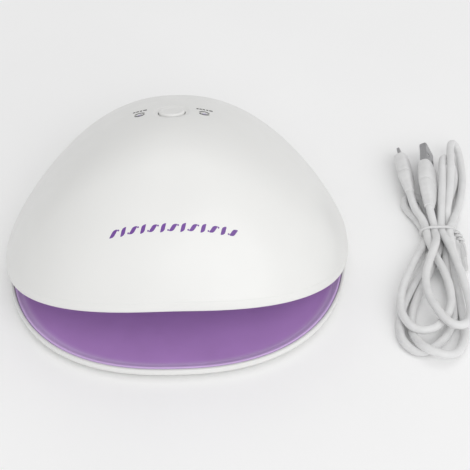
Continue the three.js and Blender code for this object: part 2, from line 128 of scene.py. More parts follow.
# ---- materials ----
class Shader:
    """A node material that starts as one Principled BSDF."""

    def __init__(self, name, **sockets):
        self.material = bpy.data.materials.new(name)
        self.material.use_nodes = True
        self.tree = self.material.node_tree
        self.surface = self.tree.nodes["Principled BSDF"]
        for socket, value in sockets.items():
            self.surface.inputs[socket.replace("_", " ")].default_value = value
        self.place = self.node("ShaderNodeTexCoord").outputs["Object"]

    def node(self, kind, **settings):
        made = self.tree.nodes.new(kind)
        for key, value in settings.items():
            setattr(made, key, value)
        return made

    def link(self, output, entry):
        self.tree.links.new(output, entry)

    def noise(self, size, detail=3.0, stretch=(1, 1, 1), seed=0.0):
        """Noise whose blotches are about `size` millimetres, stretched along the axes."""
        mapping = self.node("ShaderNodeMapping")
        mapping.inputs["Scale"].default_value = [1 / (size * MM * s) for s in stretch]
        mapping.inputs["Location"].default_value = (seed, seed, seed)
        noise = self.node("ShaderNodeTexNoise")
        noise.inputs["Scale"].default_value = 1.0
        noise.inputs["Detail"].default_value = detail
        self.link(self.place, mapping.inputs["Vector"])
        self.link(mapping.outputs["Vector"], noise.inputs["Vector"])
        return noise.outputs["Fac"]

    def ramp(self, factor, stops, entry):
        """Maps factor through colour stops of (position, colour) into a socket."""
        ramp = self.node("ShaderNodeValToRGB")
        elements = ramp.color_ramp.elements
        while len(elements) < len(stops):
            elements.new(0.5)
        for element, (position, colour) in zip(elements, stops):
            element.position = position
            element.color = (*colour, 1) if len(colour) == 3 else colour
        self.link(factor, ramp.inputs["Fac"])
        self.link(ramp.outputs["Color"], entry)

    def spread(self, factor, low, high, socket="Roughness"):
        """Maps the middle of a noise's range onto low..high of a socket."""
        step = self.node("ShaderNodeMapRange")
        for entry, value in (("From Min", 0.3), ("From Max", 0.7), ("To Min", low), ("To Max", high)):
            step.inputs[entry].default_value = value
        self.link(factor, step.inputs["Value"])
        self.link(step.outputs["Result"], self.surface.inputs[socket])

    def bump(self, *layers):
        """Stacks bumps of (height, depth in millimetres)."""
        normal = None
        for height, depth in layers:
            bump = self.node("ShaderNodeBump")
            bump.inputs["Strength"].default_value = 1.0
            bump.inputs["Distance"].default_value = depth * MM
            self.link(height, bump.inputs["Height"])
            if normal:
                self.link(normal, bump.inputs["Normal"])
            normal = bump.outputs["Normal"]
        self.link(normal, self.surface.inputs["Normal"])


def grey(value):
    return (value, value, value)


def tinted(colour, share):
    return tuple(min(1, c * share) for c in colour)


def moulded(name, colour, rough, grain=0.5, depth=0.006, coat=0.0, stain=0.03):
    """Injection-moulded plastic: mottled colour, uneven gloss, spark-eroded grain and slow sink waves."""
    shader = Shader(name, Coat_Weight=coat, Coat_Roughness=0.12, Specular_IOR_Level=0.5)
    cloud = shader.noise(38, 4)
    shader.ramp(cloud, [(0.3, tinted(colour, 1 - stain)), (0.7, tinted(colour, 1 + stain / 2))],
                shader.surface.inputs["Base Color"])
    shader.spread(shader.noise(9, 5, seed=3), rough * 0.85, rough * 1.2)
    shader.bump((shader.noise(grain, 2), depth), (shader.noise(14, 1, seed=7), depth * 3))
    return shader.material


# the heights over which the tray's painted highlight fades in up its raised edge
HIGHLIGHT_START_Z = 5.01
HIGHLIGHT_FULL_Z = 5.3


def tray_plastic(name, floor, edge):
    """Tinted plastic whose colour turns to a lighter one up its raised edge: a painted highlight."""
    shader = Shader(name, Coat_Weight=0.12, Coat_Roughness=0.15)
    parts = shader.node("ShaderNodeSeparateXYZ")
    shader.link(shader.place, parts.inputs["Vector"])
    # painted highlight: the lighter edge colour takes over with height up the raised edge
    climb = shader.node("ShaderNodeMapRange")
    for entry, value in (("From Min", HIGHLIGHT_START_Z * MM), ("From Max", HIGHLIGHT_FULL_Z * MM)):
        climb.inputs[entry].default_value = value
    shader.link(parts.outputs["Z"], climb.inputs["Value"])
    highlight_blend = shader.node("ShaderNodeMix", data_type="RGBA")
    colours = [entry for entry in highlight_blend.inputs if entry.type == "RGBA"]
    cloud = shader.noise(24, 4)
    shader.ramp(cloud, [(0.3, tinted(floor, 0.95)), (0.7, tinted(floor, 1.04))], colours[0])
    shader.ramp(cloud, [(0.3, tinted(edge, 0.96)), (0.7, tinted(edge, 1.03))], colours[1])
    shader.link(climb.outputs["Result"], highlight_blend.inputs["Factor"])
    mixed = [output for output in highlight_blend.outputs if output.type == "RGBA"]
    shader.link(mixed[0], shader.surface.inputs["Base Color"])
    shader.spread(shader.noise(7, 5, seed=3), 0.3, 0.42)
    shader.bump((shader.noise(0.6, 2), 0.002), (shader.noise(12, 1, seed=7), 0.01))
    return shader.material


def rubbery(name, colour, rough, grain=0.35, depth=0.02):
    shader = Shader(name, Sheen_Weight=0.15, Sheen_Roughness=0.5)
    shader.ramp(shader.noise(6, 5), [(0.3, tinted(colour, 0.94)), (0.7, tinted(colour, 1.03))],
                shader.surface.inputs["Base Color"])
    shader.spread(shader.noise(2.5, 4, seed=2), rough * 0.88, rough * 1.08)
    shader.bump((shader.noise(grain, 3), depth))
    return shader.material


def metal(name, colour, rough, stretch):
    """Rolled or plated metal with fine scratches drawn out along one axis."""
    shader = Shader(name, Metallic=1.0)
    scratches = shader.noise(0.5, 3, stretch)
    shader.ramp(scratches, [(0.3, tinted(colour, 0.82)), (0.7, tinted(colour, 1.06))],
                shader.surface.inputs["Base Color"])
    shader.spread(shader.noise(3, 4, seed=5), rough * 0.8, rough * 1.35)
    shader.bump((scratches, 0.01))
    return shader.material


TRACK_PITCH = 3.2


def circuit(name, mask, copper):
    """A circuit board: solder mask in bricks, with tracks that show through between them."""
    shader = Shader(name, Coat_Weight=0.3, Coat_Roughness=0.2, Roughness=0.45)
    bricks = shader.node("ShaderNodeTexBrick")
    bricks.inputs["Scale"].default_value = 1 / (TRACK_PITCH * MM)
    bricks.inputs["Color1"].default_value = (*mask, 1)
    bricks.inputs["Color2"].default_value = (*tinted(mask, 0.86), 1)
    bricks.inputs["Mortar"].default_value = (*copper, 1)
    bricks.inputs["Mortar Size"].default_value = 0.05
    shader.link(shader.place, bricks.inputs["Vector"])
    shader.link(bricks.outputs["Color"], shader.surface.inputs["Base Color"])
    shader.bump((bricks.outputs["Fac"], 0.03), (shader.noise(0.4), 0.01))
    return shader.material


def clear_lens(name, colour, glow):
    shader = Shader(name, Transmission_Weight=0.55, IOR=1.5, Emission_Strength=glow)
    shader.surface.inputs["Emission Color"].default_value = (*colour, 1)
    shader.ramp(shader.noise(1.2, 3), [(0.3, tinted(colour, 0.9)), (0.7, colour)],
                shader.surface.inputs["Base Color"])
    shader.spread(shader.noise(0.8, 3, seed=4), 0.06, 0.16)
    shader.bump((shader.noise(0.6, 2), 0.005))
    return shader.material


WHITE = (0.83, 0.83, 0.815)
MATERIALS = {
    "shell_white": moulded("shell_white", WHITE, 0.36, grain=0.8, depth=0.0015, coat=0.12, stain=0.012),
    "reflector": moulded("reflector", (0.78, 0.75, 0.83), 0.2, depth=0.002, coat=0.3),
    # the second colour is the painted highlight along the tray's raised edge
    "tray_purple": tray_plastic("tray_purple", (0.50, 0.275, 0.645), (0.70, 0.50, 0.84)),
    "rubber": rubbery("rubber", grey(0.16), 0.85),
    "screw_steel": metal("screw_steel", (0.56, 0.57, 0.60), 0.3, (1, 1, 4)),
    "board_green": circuit("board_green", (0.03, 0.16, 0.08), (0.10, 0.30, 0.16)),
    "board_white": circuit("board_white", (0.80, 0.80, 0.77), (0.66, 0.66, 0.62)),
    "lens": clear_lens("lens", (0.80, 0.74, 0.95), 0.04),
    "dark_plastic": moulded("dark_plastic", grey(0.02), 0.45, depth=0.01),
    "nickel": metal("nickel", (0.48, 0.48, 0.49), 0.38, (0.4, 8, 0.4)),
    "wire": moulded("wire", (0.45, 0.03, 0.045), 0.4, grain=0.3),
    "tie": rubbery("tie", grey(0.70), 0.5, depth=0.01),
    "cord_white": rubbery("cord_white", grey(0.76), 0.42, depth=0.012),
    "ornament": moulded("ornament", (0.17, 0.06, 0.32), 0.35, stain=0.12),
    "print_grey": moulded("print_grey", grey(0.10), 0.5, stain=0.15),
}


# ---- mesh helpers ----
def piece(name, data, material, body, slot, *nodes):
    """Links a mesh or curve as a piece that rides on a body and stands for the CAD nodes named."""
    made = bpy.data.objects.new(name, data)
    bpy.context.scene.collection.objects.link(made)
    data.materials.clear()
    data.materials.append(MATERIALS[material])
    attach(made, body)
    if nodes:
        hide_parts(*nodes)
    return made


def smoothed(mesh, sharp=35):
    mesh.shade_smooth()
    mesh.set_sharp_from_angle(angle=math.radians(sharp))
    return mesh


def faced(name, points, faces, sharp=35):
    """A mesh from millimetre points, with its faces turned outwards."""
    mesh = bpy.data.meshes.new(name)
    mesh.from_pydata((np.asarray(points, float) * MM).tolist(), [], faces)
    corners = np.array([vertex.co for vertex in mesh.vertices])
    volume = 0.0
    for face in faces:
        first = corners[face[0]]
        for second, third in zip(face[1:], face[2:]):
            volume += np.dot(first, np.cross(corners[second], corners[third]))
    if volume < 0:
        mesh.flip_normals()
    return smoothed(mesh, sharp)


def loft(name, rings, joined=False, sharp=35):
    """A closed surface through rings of points; its ends are capped, or joined to each other."""
    rings = np.asarray(rings, float)
    rows, around = rings.shape[:2]
    faces = []
    for row in range(rows if joined else rows - 1):
        here, there = row * around, (row + 1) % rows * around
        for k in range(around):
            after = (k + 1) % around
            faces.append((here + k, here + after, there + after, there + k))
    if not joined:
        faces.append(tuple(reversed(range(around))))
        faces.append(tuple(range((rows - 1) * around, rows * around)))
    return faced(name, rings.reshape(-1, 3), faces, sharp)


def circle(count):
    turn = np.arange(count) * 2 * math.pi / count
    return np.cos(turn), np.sin(turn)


def lathe(name, profile, place=Matrix(), around=40, sharp=35):
    """Turns (radius, height) rows about Z; a zero radius is kept as a tiny ring."""
    cos, sin = circle(around)
    rings = []
    for radius, height in profile:
        reach = max(radius, 0.01)
        ring = np.stack([reach * cos, reach * sin, np.full(around, height)], axis=1)
        rings.append([tuple(place @ Vector(point)) for point in ring])
    return loft(name, rings, sharp=sharp)


def at(x, y, z=0.0):
    return Matrix.Translation((x, y, z))


def cut(target, *cutters):
    """Cuts meshes out of an object, and the result becomes its mesh."""
    for index, mesh in enumerate(cutters):
        tool = bpy.data.objects.new(f"cutter_{index}", mesh)
        bpy.context.scene.collection.objects.link(tool)
        modifier = target.modifiers.new("cut", "BOOLEAN")
        modifier.object = tool
        modifier.solver = "EXACT"
    bpy.context.view_layer.update()
    shown = target.evaluated_get(bpy.context.evaluated_depsgraph_get())
    mesh = bpy.data.meshes.new_from_object(shown)
    tools = [modifier.object for modifier in target.modifiers]
    target.modifiers.clear()
    target.data = smoothed(mesh)
    for tool in tools:
        bpy.data.objects.remove(tool)


def box_mesh(name, low, high, place=Matrix()):
    sides = list(zip(low, high))
    corners = [(x, y, z) for x in sides[0] for y in sides[1] for z in sides[2]]
    faces = [(0, 1, 3, 2), (4, 6, 7, 5), (0, 4, 5, 1), (2, 3, 7, 6), (0, 2, 6, 4), (1, 5, 7, 3)]
    return faced(name, [tuple(place @ Vector(c)) for c in corners], faces)


# ---- the loose cable ----
CORD_D = 4.2
ROUTE = [
    # the lead of the small plug, down to the tie
    (125.9, 34.6, 8.8), (126.1, 31, 8.5), (127.4, 22, 7.4), (130.4, 12.8, 6.9), (131.2, 4.5, 6.7),
    # first front loop, and back under the tie
    (131.5, -3, 6.6), (132.8, -11, 6.5), (134.7, -19, 6.6), (136.6, -29, 6.8), (137.2, -40, 6.9),
    (135.4, -51, 6.9), (130.4, -59.6, 6.8), (123.6, -64.8, 6.7), (116.8, -64.2, 6.8), (112.3, -58, 6.9),
    (111.4, -48, 6.9), (113.6, -37, 6.9), (118.6, -25, 6.9), (124.2, -13, 6.2), (128.4, -4, 3.8),
    (131, 4.5, 2.4),
    # the small rear loop under the plugs
    (130, 12.5, 2.4), (127, 20.6, 2.4), (123.9, 27, 2.4), (123.4, 32, 2.4), (125.4, 35.8, 2.4),
    (129, 36.9, 2.4), (132.4, 34.4, 2.4), (133.9, 29, 2.4), (134.5, 21, 2.4), (135, 13, 2.4),
    (135.1, 4.5, 2.4),
    # the lowest front loop
    (132.2, -7, 2.4), (126.4, -20, 2.4), (118.8, -34, 2.4), (112.8, -47, 2.4), (109.8, -60, 2.4),
    (111.6, -70.4, 2.4), (117.8, -75.4, 2.4), (124.8, -72.6, 2.4), (131.4, -66, 2.4), (136.2, -57, 2.4),
    (138, -46, 2.4), (138, -34, 2.4), (138.4, -21, 2.4), (140.4, -8, 2.4), (143.2, 4.5, 2.4),
    # the long rear loop, leaning on its neighbour
    (143.6, 13, 2.8), (144.7, 21, 5.4), (146.8, 30, 8.4), (148.8, 40, 10.6), (150.4, 50, 12),
    (151.6, 60, 12.4), (152.8, 68, 12), (154.6, 72.8, 10.5), (156.7, 74.4, 7.9), (158.4, 72.2, 5.3),
    (159, 66.6, 3.4), (158.8, 59, 2.5), (157.6, 49, 2.4), (155.4, 39, 2.4), (152.4, 29, 2.6),
    (149.4, 20.5, 3.8), (146.4, 12.6, 5.8), (143.5, 4.5, 6.7),
    # the front loop that reaches furthest
    (143.5, -3, 5.6), (142.9, -12, 3.6), (142.3, -24, 2.5), (142.2, -38, 2.4), (142, -50, 2.4),
    (141.4, -61, 2.4), (139, -71.4, 2.6), (133.6, -78.6, 4.2), (126.4, -80, 6.4), (120, -76.6, 6.8),
    (116.6, -70, 4.8), (115.6, -62, 2.5), (116.8, -52, 2.4), (120.4, -41, 2.4), (125.6, -30, 2.4),
    (131.4, -18, 2.4), (136.5, -6.4, 2.4), (139.2, 4.5, 2.4),
    # the shorter rear loop
    (140, 13, 2.4), (142.8, 22, 2.4), (146.8, 31, 2.4), (150.4, 40, 2.4), (152.9, 48, 2.4),
    (153.8, 54.4, 3), (153.1, 59.2, 4.7), (150.9, 61.9, 7.3), (148.4, 60.7, 9.9), (146.7, 56, 11),
    (145.6, 48, 10.9), (144, 37, 10), (142, 25.6, 8.8), (140.2, 14, 7.3), (139.4, 4.5, 6.7),
    # the front loop on top of the others
    (140.4, -4, 8.2), (142, -13, 8.8), (143.6, -24, 8.6), (144.8, -35, 8), (145.2, -46, 8),
    (144.4, -56.4, 8.6), (141, -64, 9.6), (135.6, -65.6, 10.4), (130.8, -61.4, 10.8), (127.2, -53, 10.8),
    (125.3, -43, 9.8), (125.8, -32, 9.4), (129, -21, 10.2), (132.9, -11.4, 10.6), (135.2, -3, 8.6),
    (135.4, 4.5, 6.8),
    # the lead of the large plug
    (135.6, 9.5, 7.1), (134.9, 14.2, 9.2), (134.4, 18, 10.8), (134.6, 20.6, 11.1),
]


def wire_curve(name, points, radius, detail=10):
    """A round wire through millimetre points."""
    curve = bpy.data.curves.new(name, "CURVE")
    curve.dimensions = "3D"
    curve.resolution_u = detail
    curve.bevel_depth = radius * MM
    curve.bevel_resolution = 7
    curve.use_fill_caps = True
    spline = curve.splines.new("BEZIER")
    spline.bezier_points.add(len(points) - 1)
    for knot, point in zip(spline.bezier_points, points):
        knot.co = Vector(point) * MM
        knot.handle_left_type = knot.handle_right_type = "AUTO"
    return curve


def superellipse(half_x, half_z, power, around=48):
    cos, sin = circle(around)
    x = half_x * np.sign(cos) * np.abs(cos) ** power
    z = half_z * np.sign(sin) * np.abs(sin) ** power
    return x, z


def plug_frame(x, y, z, turn, roll, rise):
    """The frame of a plug: +Y points out along its metal end."""
    turned = Matrix.Rotation(math.radians(turn), 4, "Z")
    tipped = Matrix.Rotation(math.radians(-rise), 4, "X")
    rolled = Matrix.Rotation(math.radians(roll), 4, "Y")
    return at(x, y, z) @ (turned @ tipped @ rolled)


A_PLUG = plug_frame(138.1, 53.5, 8.8, -6.2, 62, 3.6)
MICRO_PLUG = plug_frame(125.3, 64.8, 6.4, 1, 64, 4.6)


def grip(name, rows, power, place, nodes):
    """A moulded grip through rows of (half width, half thickness, distance behind the metal end)."""
    rings = []
    for half_x, half_z, back in rows:
        x, z = superellipse(half_x, half_z, power)
        rings.append([tuple(place @ Vector((a, -back, b))) for a, b in zip(x, z)])
    return piece(name, loft(name, rings, sharp=50), "cord_white", "cable", "cord_white", *nodes)


GROOVE_DEPTH = 0.18


def sleeve_rows(start, end, grooves):
    """Rows of a strain relief that tapers from start to end and is ringed by shallow grooves."""
    rows = []
    (wide_0, thick_0, back_0), (wide_1, thick_1, back_1) = start, end
    steps = grooves * 4
    for step in range(steps + 1):
        share = step / steps
        groove = GROOVE_DEPTH if step % 4 == 2 else 0.0
        ease = share ** 1.2
        wide = wide_0 + (wide_1 - wide_0) * ease - groove
        thick = thick_0 + (thick_1 - thick_0) * ease - groove
        rows.append((wide, thick, back_0 + (back_1 - back_0) * share))
    return rows


def build_cable():
    cord = piece("usb_cord", wire_curve("usb_cord", ROUTE, CORD_D / 2), "cord_white", "cable", "cord_white",
                 "hank_lower", "hank_upper", "hank_under", "usb_a_lead", "micro_usb_lead")
    a_rows = [
        (5.6, 2.0, 0), (6.3, 2.7, 0.05), (7.0, 3.4, 0.3), (7.4, 3.8, 0.9), (7.55, 3.95, 1.9), (7.6, 4, 3.2),
        (7.6, 4, 10), (7.6, 4, 16.2), (7.5, 3.95, 16.7), (7.15, 3.65, 17), (7.15, 3.65, 17.5),
        (7.35, 3.85, 17.8), (7.1, 3.8, 18.8),
    ]
    a_rows += sleeve_rows((6.8, 3.7, 20), (2.75, 2.7, 33.4), 4)
    a_rows += [(2.6, 2.6, 34.2), (2.5, 2.5, 34.8), (2.2, 2.2, 35)]
    a_grip = grip("usb_a_grip", a_rows, 0.6, A_PLUG, ["usb_a_overmold"])
    micro_rows = [
        (3.9, 2.2, 0), (4.6, 2.8, 0.05), (5.1, 3.3, 0.3), (5.5, 3.7, 0.9), (5.65, 3.85, 1.7), (5.7, 3.9, 2.8),
        (5.7, 3.9, 9), (5.7, 3.9, 15.4), (5.6, 3.85, 15.9), (5.25, 3.55, 16.2), (5.25, 3.55, 16.7),
        (5.45, 3.75, 17), (5.3, 3.75, 18),
    ]
    micro_rows += sleeve_rows((5.2, 3.7, 19), (2.6, 2.6, 29.4), 3)
    micro_rows += [(2.5, 2.5, 30.2), (2.4, 2.4, 30.8), (2.2, 2.2, 31)]
    micro_grip = grip("micro_usb_grip", micro_rows, 0.65, MICRO_PLUG, ["micro_usb_overmold"])
    a_metal = build_connector("usb_a_metal", 12, 4.5, 16.4, 0.35, A_PLUG, "usb_a_shell", True)
    micro_metal = build_connector("micro_usb_metal", 6.8, 1.8, 7, 0.28, MICRO_PLUG, "micro_usb_shell", False)
    ties = build_tie()


SHEET_CORNER = 0.34  # the superellipse power of a folded metal section
LATCH_X = 2.9
LATCH_HALF = 1.15
LATCH_BACK = 6.4
LATCH_FRONT = 8.9
LATCH_DEPTH = 0.6


def build_connector(name, wide, thick, long, wall, place, node, windows):
    """A folded sheet-metal connector shell, open at its end, with its latch windows."""
    x, z = superellipse(wide / 2, thick / 2, SHEET_CORNER)
    inner_x, inner_z = superellipse(wide / 2 - wall, thick / 2 - wall, SHEET_CORNER)
    rows = [
        (x, z, GAP), (x, z, long / 2), (x, z, long + 0.1),
        (x - 0.1 * np.sign(x), z - 0.1 * np.sign(z), long + GAP),
        (inner_x, inner_z, long + 0.15), (inner_x, inner_z, long / 2), (inner_x, inner_z, 1.5),
    ]
    rings = []
    for ring_x, ring_z, y in rows:
        rings.append([tuple(place @ Vector((a, y, b))) for a, b in zip(ring_x, ring_z)])
    made = piece(name, loft(name, rings, sharp=40), "nickel", "cable", "nickel", node)
    if windows:
        cut(made, *latch_windows(thick, place))
    return made


def latch_windows(thick, place):
    """The two latch windows in the top and in the bottom of a connector shell."""
    holes = []
    for x in (-LATCH_X, LATCH_X):
        for z in (-thick / 2, thick / 2):
            low = (x - LATCH_HALF, LATCH_BACK, z - LATCH_DEPTH)
            high = (x + LATCH_HALF, LATCH_FRONT, z + LATCH_DEPTH)
            holes.append(box_mesh("window", low, high, place))
    return holes


TIE_LEFT, TIE_RIGHT = 128.2, 146.1
TIE_LOW, TIE_HIGH = 1.1, 9.6
TIE_REAR = 5.0
TIE_SLANT = 0.04  # how far each step of the band moves towards the front
BAND_STEPS = 25
BAND_RADIUS = 0.75
TWIST_START = Vector((146.4, 4.2, 6.6))
TWIST_END = Vector((149.8, -1.2, 3.6))
TWIST_STEPS = 28
TWIST_HALF_TURNS = 3.2
TWIST_RADIUS = 0.72
TAIL = [
    (149.7, -1.0, 3.4), (150.2, -3.4, 2.2), (149.9, -7, 1.5), (149.5, -11, 1.2), (149.2, -15.5, 1.1),
    (149.0, -20.6, 1.0),
]
TAIL_HALF_WIDTH = 1.35
TAIL_HALF_THICK = 0.42
STUB = [(149.9, -1.2, 3.6), (150.5, -4, 2.6), (150.7, -7.5, 1.8), (150.3, -10.2, 1.6)]
STUB_RADIUS = 0.55


def build_tie():
    """A thin coated wire round the cord's waist, twisted shut, with a flat tail and a short stub."""
    ring = piece("tie_band", wire_curve("tie_band", band_points(), BAND_RADIUS, 8), "tie", "cable", "tie")
    pieces = [ring]
    for strand in range(2):
        name = f"tie_twist_{strand + 1}"
        curve = wire_curve(name, twist_points(strand), TWIST_RADIUS, 6)
        pieces.append(piece(name, curve, "tie", "cable", "tie"))
    pieces.append(ribbon("tie_tail", TAIL, TAIL_HALF_WIDTH, TAIL_HALF_THICK))
    pieces.append(piece("tie_stub", wire_curve("tie_stub", STUB, STUB_RADIUS, 6), "tie", "cable", "tie"))
    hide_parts("cable_tie")
    return pieces


def band_points():
    """One turn of the tie, bulged out to the cord's strands."""
    points = []
    for step in range(BAND_STEPS + 1):
        turn = math.radians(-50 + step * 360 / BAND_STEPS)
        bulge_x = abs(math.cos(turn)) ** 0.55 * math.copysign(1, math.cos(turn))
        bulge_z = abs(math.sin(turn)) ** 0.6 * math.copysign(1, math.sin(turn))
        points.append(((TIE_LEFT + TIE_RIGHT) / 2 + (TIE_RIGHT - TIE_LEFT) / 2 * bulge_x,
                       TIE_REAR - step * TIE_SLANT,
                       (TIE_LOW + TIE_HIGH) / 2 + (TIE_HIGH - TIE_LOW) / 2 * bulge_z))
    return points


def twist_points(strand):
    """One of the two strands that are twisted round each other."""
    along = (TWIST_END - TWIST_START).normalized()
    side = along.cross(Vector((0, 0, 1))).normalized()
    up = side.cross(along)
    points = []
    for step in range(TWIST_STEPS + 1):
        share = step / TWIST_STEPS
        turn = strand * math.pi + share * TWIST_HALF_TURNS * math.pi
        swell = 0.75 + 0.5 * math.sin(share * math.pi)
        offset = swell * (math.cos(turn) * side + math.sin(turn) * up)
        points.append(TWIST_START.lerp(TWIST_END, share) + offset)
    return points


def ribbon(name, points, half_width, half_thick):
    """A flat strip that follows points, with a ridge over its wire core."""
    section = [
        (-1, 0), (-0.85, 0.6), (-0.35, 0.7), (0, 1.6), (0.35, 0.7), (0.85, 0.6), (1, 0), (0.85, -0.6),
        (0, -0.9), (-0.85, -0.6),
    ]
    line = [Vector(p) for p in points]
    rings = []
    for k, here in enumerate(line):
        ahead = (line[min(k + 1, len(line) - 1)] - line[max(k - 1, 0)]).normalized()
        side = ahead.cross(Vector((0, 0, 1))).normalized()
        up = side.cross(ahead)
        rings.append([tuple(here + half_width * u * side + half_thick * v * up) for u, v in section])
    made = piece(name, loft(name, rings), "tie", "cable", "tie")
    made.modifiers.new("smooth", "SUBSURF").levels = 2
    return made


# ---- the lamp's surfaces ----
def reach_of(y):
    return np.where(y < 0, HALF, BACK)


def width_at(y):
    return HALF * (1 - REAR_TAPER * (np.clip(y, 0, BACK) / BACK) ** 1.5)


def share_at(x, y):
    return (np.abs(x / width_at(y)) ** CORNER + np.abs(y / reach_of(y)) ** CORNER) ** (1 / CORNER)


def smooth_min(a, b, width):
    mix = np.clip(0.5 + (b - a) / (2 * width), 0, 1)
    return b * (1 - mix) + a * mix - width * mix * (1 - mix)


def smooth_step(value, low, high):
    share = np.clip((value - low) / (high - low), 0, 1)
    return share * share * (3 - 2 * share)


def dome_height(x, y):
    rise = np.clip(1 - share_at(x, y) ** DOME_FULLNESS, 0, None) ** (1 / DOME_SHARPNESS)
    cap = CAP_Z - CAP_SLOPE * (y - CAP_Y) - CAP_CROWN * x * x
    return np.maximum(smooth_min(SKIRT_Z + DOME_RISE * rise, cap, CAP_BLEND), SKIRT_Z)


def arch_height(x, rise=MOUTH_RISE):
    return MOUTH_FOOT + rise * np.sqrt(np.clip(1 - (x / MOUTH_HALF) ** 2, 0, None))


def furthest(cos, sin, centre_y, inside):
    """How far each ray from (0, centre_y) runs before it leaves the region."""
    low, high = np.zeros_like(cos), np.full_like(cos, 2.0 * HALF)
    for _ in range(40):
        middle = (low + high) / 2
        held = inside(middle * cos, centre_y + middle * sin)
        low, high = np.where(held, middle, low), np.where(held, high, middle)
    return low


def grid_normals(points):
    """Outward normals of rows of rings, and the direction down each column."""
    down = np.gradient(points, axis=0)
    across = np.roll(points, -1, axis=1) - np.roll(points, 1, axis=1)
    normal = np.cross(down, across)
    normal /= np.maximum(np.linalg.norm(normal, axis=2, keepdims=True), 1e-9)
    normal *= np.sign(normal[: len(normal) // 2, :, 2].mean())
    down /= np.maximum(np.linalg.norm(down, axis=2, keepdims=True), 1e-9)
    return normal, down


HOLE_R = BUTTON_R + 0.35
DISH_INNER_R = 7.5
DISH_RINGS = (HOLE_R, 6.82, 6.95, 7.15, 7.4, 7.8, 8.2, 8.6, 9.0, 9.3, 9.6, 10.0, 10.8, 12.2)
BLEND_R = 14
BODY_ROWS = 88
EDGE_ROWS = 18
EDGE_BAND = 5  # the last stretch of each column, drawn finer
LIP_STEPS = 10
LIP_TURN = 3.8  # below a fine crease, the shell turns in over this length before its edge


def along_columns(points, trim):
    """Each column of points resampled along its own length, and every new point's distance to the edge."""
    steps = np.linalg.norm(np.diff(points, axis=0), axis=2)
    along = np.concatenate([np.zeros((1, points.shape[1])), np.cumsum(steps, axis=0)])
    total = along[-1] - trim
    body = np.linspace(0, 1, BODY_ROWS, endpoint=False)[:, None] * (total - EDGE_BAND)
    close = total - EDGE_BAND * np.linspace(1, 0, EDGE_ROWS)[:, None]
    wanted = np.concatenate([body, close])
    result = np.empty((len(wanted), points.shape[1], 3))
    for column in range(points.shape[1]):
        for axis in range(3):
            result[:, column, axis] = np.interp(wanted[:, column], along[:, column], points[:, column, axis])
    return result, total - wanted


def shell_surface():
    """The shell's outer surface in columns round the button's hole, and each point's distance to the edge."""
    def inside(x, y):
        return (share_at(x, y) <= 1) & ((y >= 0) | (dome_height(x, y) >= arch_height(x)))

    cos, sin = circle(AROUND)
    reach = furthest(cos, sin, BUTTON_Y, inside)
    lean = math.cos(BUTTON_TILT)
    share = np.sin(np.linspace(0, math.pi / 2, 500))[:, None]
    near_y = BLEND_R * lean * sin
    x = BLEND_R * cos + (reach - BLEND_R) * cos * share
    y = BUTTON_Y + near_y + (reach * sin - near_y) * share
    body, left = along_columns(np.stack([x, y, dome_height(x, y)], axis=2), WALL / 2)
    radius = np.array(DISH_RINGS)[:, None]
    x, y = radius * cos, BUTTON_Y + radius * lean * sin
    bevel = 0.35 * np.clip(1 - (radius - HOLE_R) / 0.4, 0, 1) ** 2
    sink = DISH_DEPTH * (1 - smooth_step(radius, DISH_INNER_R, DISH_R)) + bevel
    dish = np.stack([x, y, dome_height(x, y)], axis=2)
    dish -= sink[..., None] * np.array([0, math.sin(BUTTON_TILT), math.cos(BUTTON_TILT)])
    outer = np.concatenate([dish, body])
    return outer, np.concatenate([np.full(dish.shape[:2], 2.0 * HALF), left])


LIGHT_HOLE_R = 1.3
SLOT_HALF_X = 4.25
SLOT_HALF_Z = 1.9
SLOT_Z = 17.2


def build_upper_shell():
    """The cover: its lip rolls in, and it has two windows for lights and a slot for the power socket."""
    outer, left = shell_surface()
    normal, _ = grid_normals(outer)
    crease = smooth_step(-left, -LIP_TURN - 0.5, -LIP_TURN)
    turn_in = 0.2 * crease + 0.75 * np.clip(1 - left / LIP_TURN, 0, 1) ** 2
    front = 0.35 + 0.65 * smooth_step(-outer[..., 1], -6, 12)
    outer = outer - (turn_in * front)[..., None] * normal
    normal, down = grid_normals(outer)
    edge, out, along = outer[-1], normal[-1], down[-1]
    half = WALL / 2
    lip = []
    for step in range(1, LIP_STEPS):
        turn = step / LIP_STEPS * math.pi
        lip.append(edge - out * half * (1 - math.cos(turn)) + along * half * math.sin(turn))
    keep = list(range(len(outer) - 1, 0, -2)) + [0]
    inner = outer[keep] - WALL * normal[keep]
    rings = np.concatenate([outer, lip, inner])
    shell = piece("shell_cover", loft("shell_cover", rings, joined=True, sharp=50), "shell_white", "lamp",
                  "shell_white", "upper_shell")
    window = [(0, -6), (LIGHT_HOLE_R, -6), (LIGHT_HOLE_R, 4), (0, 4)]
    windows = [lathe("window", window, button_frame() @ at(side * LIGHT_X, 0)) for side in SIDES.values()]
    ring_x, ring_z = superellipse(SLOT_HALF_X, SLOT_HALF_Z, 0.45)
    slot = []
    for y in (HALF - 8, HALF + 4):
        slot.append([(a, y, SLOT_Z + b) for a, b in zip(ring_x, ring_z)])
    cut(shell, *windows, loft("slot", slot))
    build_bosses()


BOSS_BORE_R = 1.5
BOSS_R = 3.6
BOSS_CLEAR = 4.5  # the dome is measured this far outside the boss's axis, so the boss stays under it


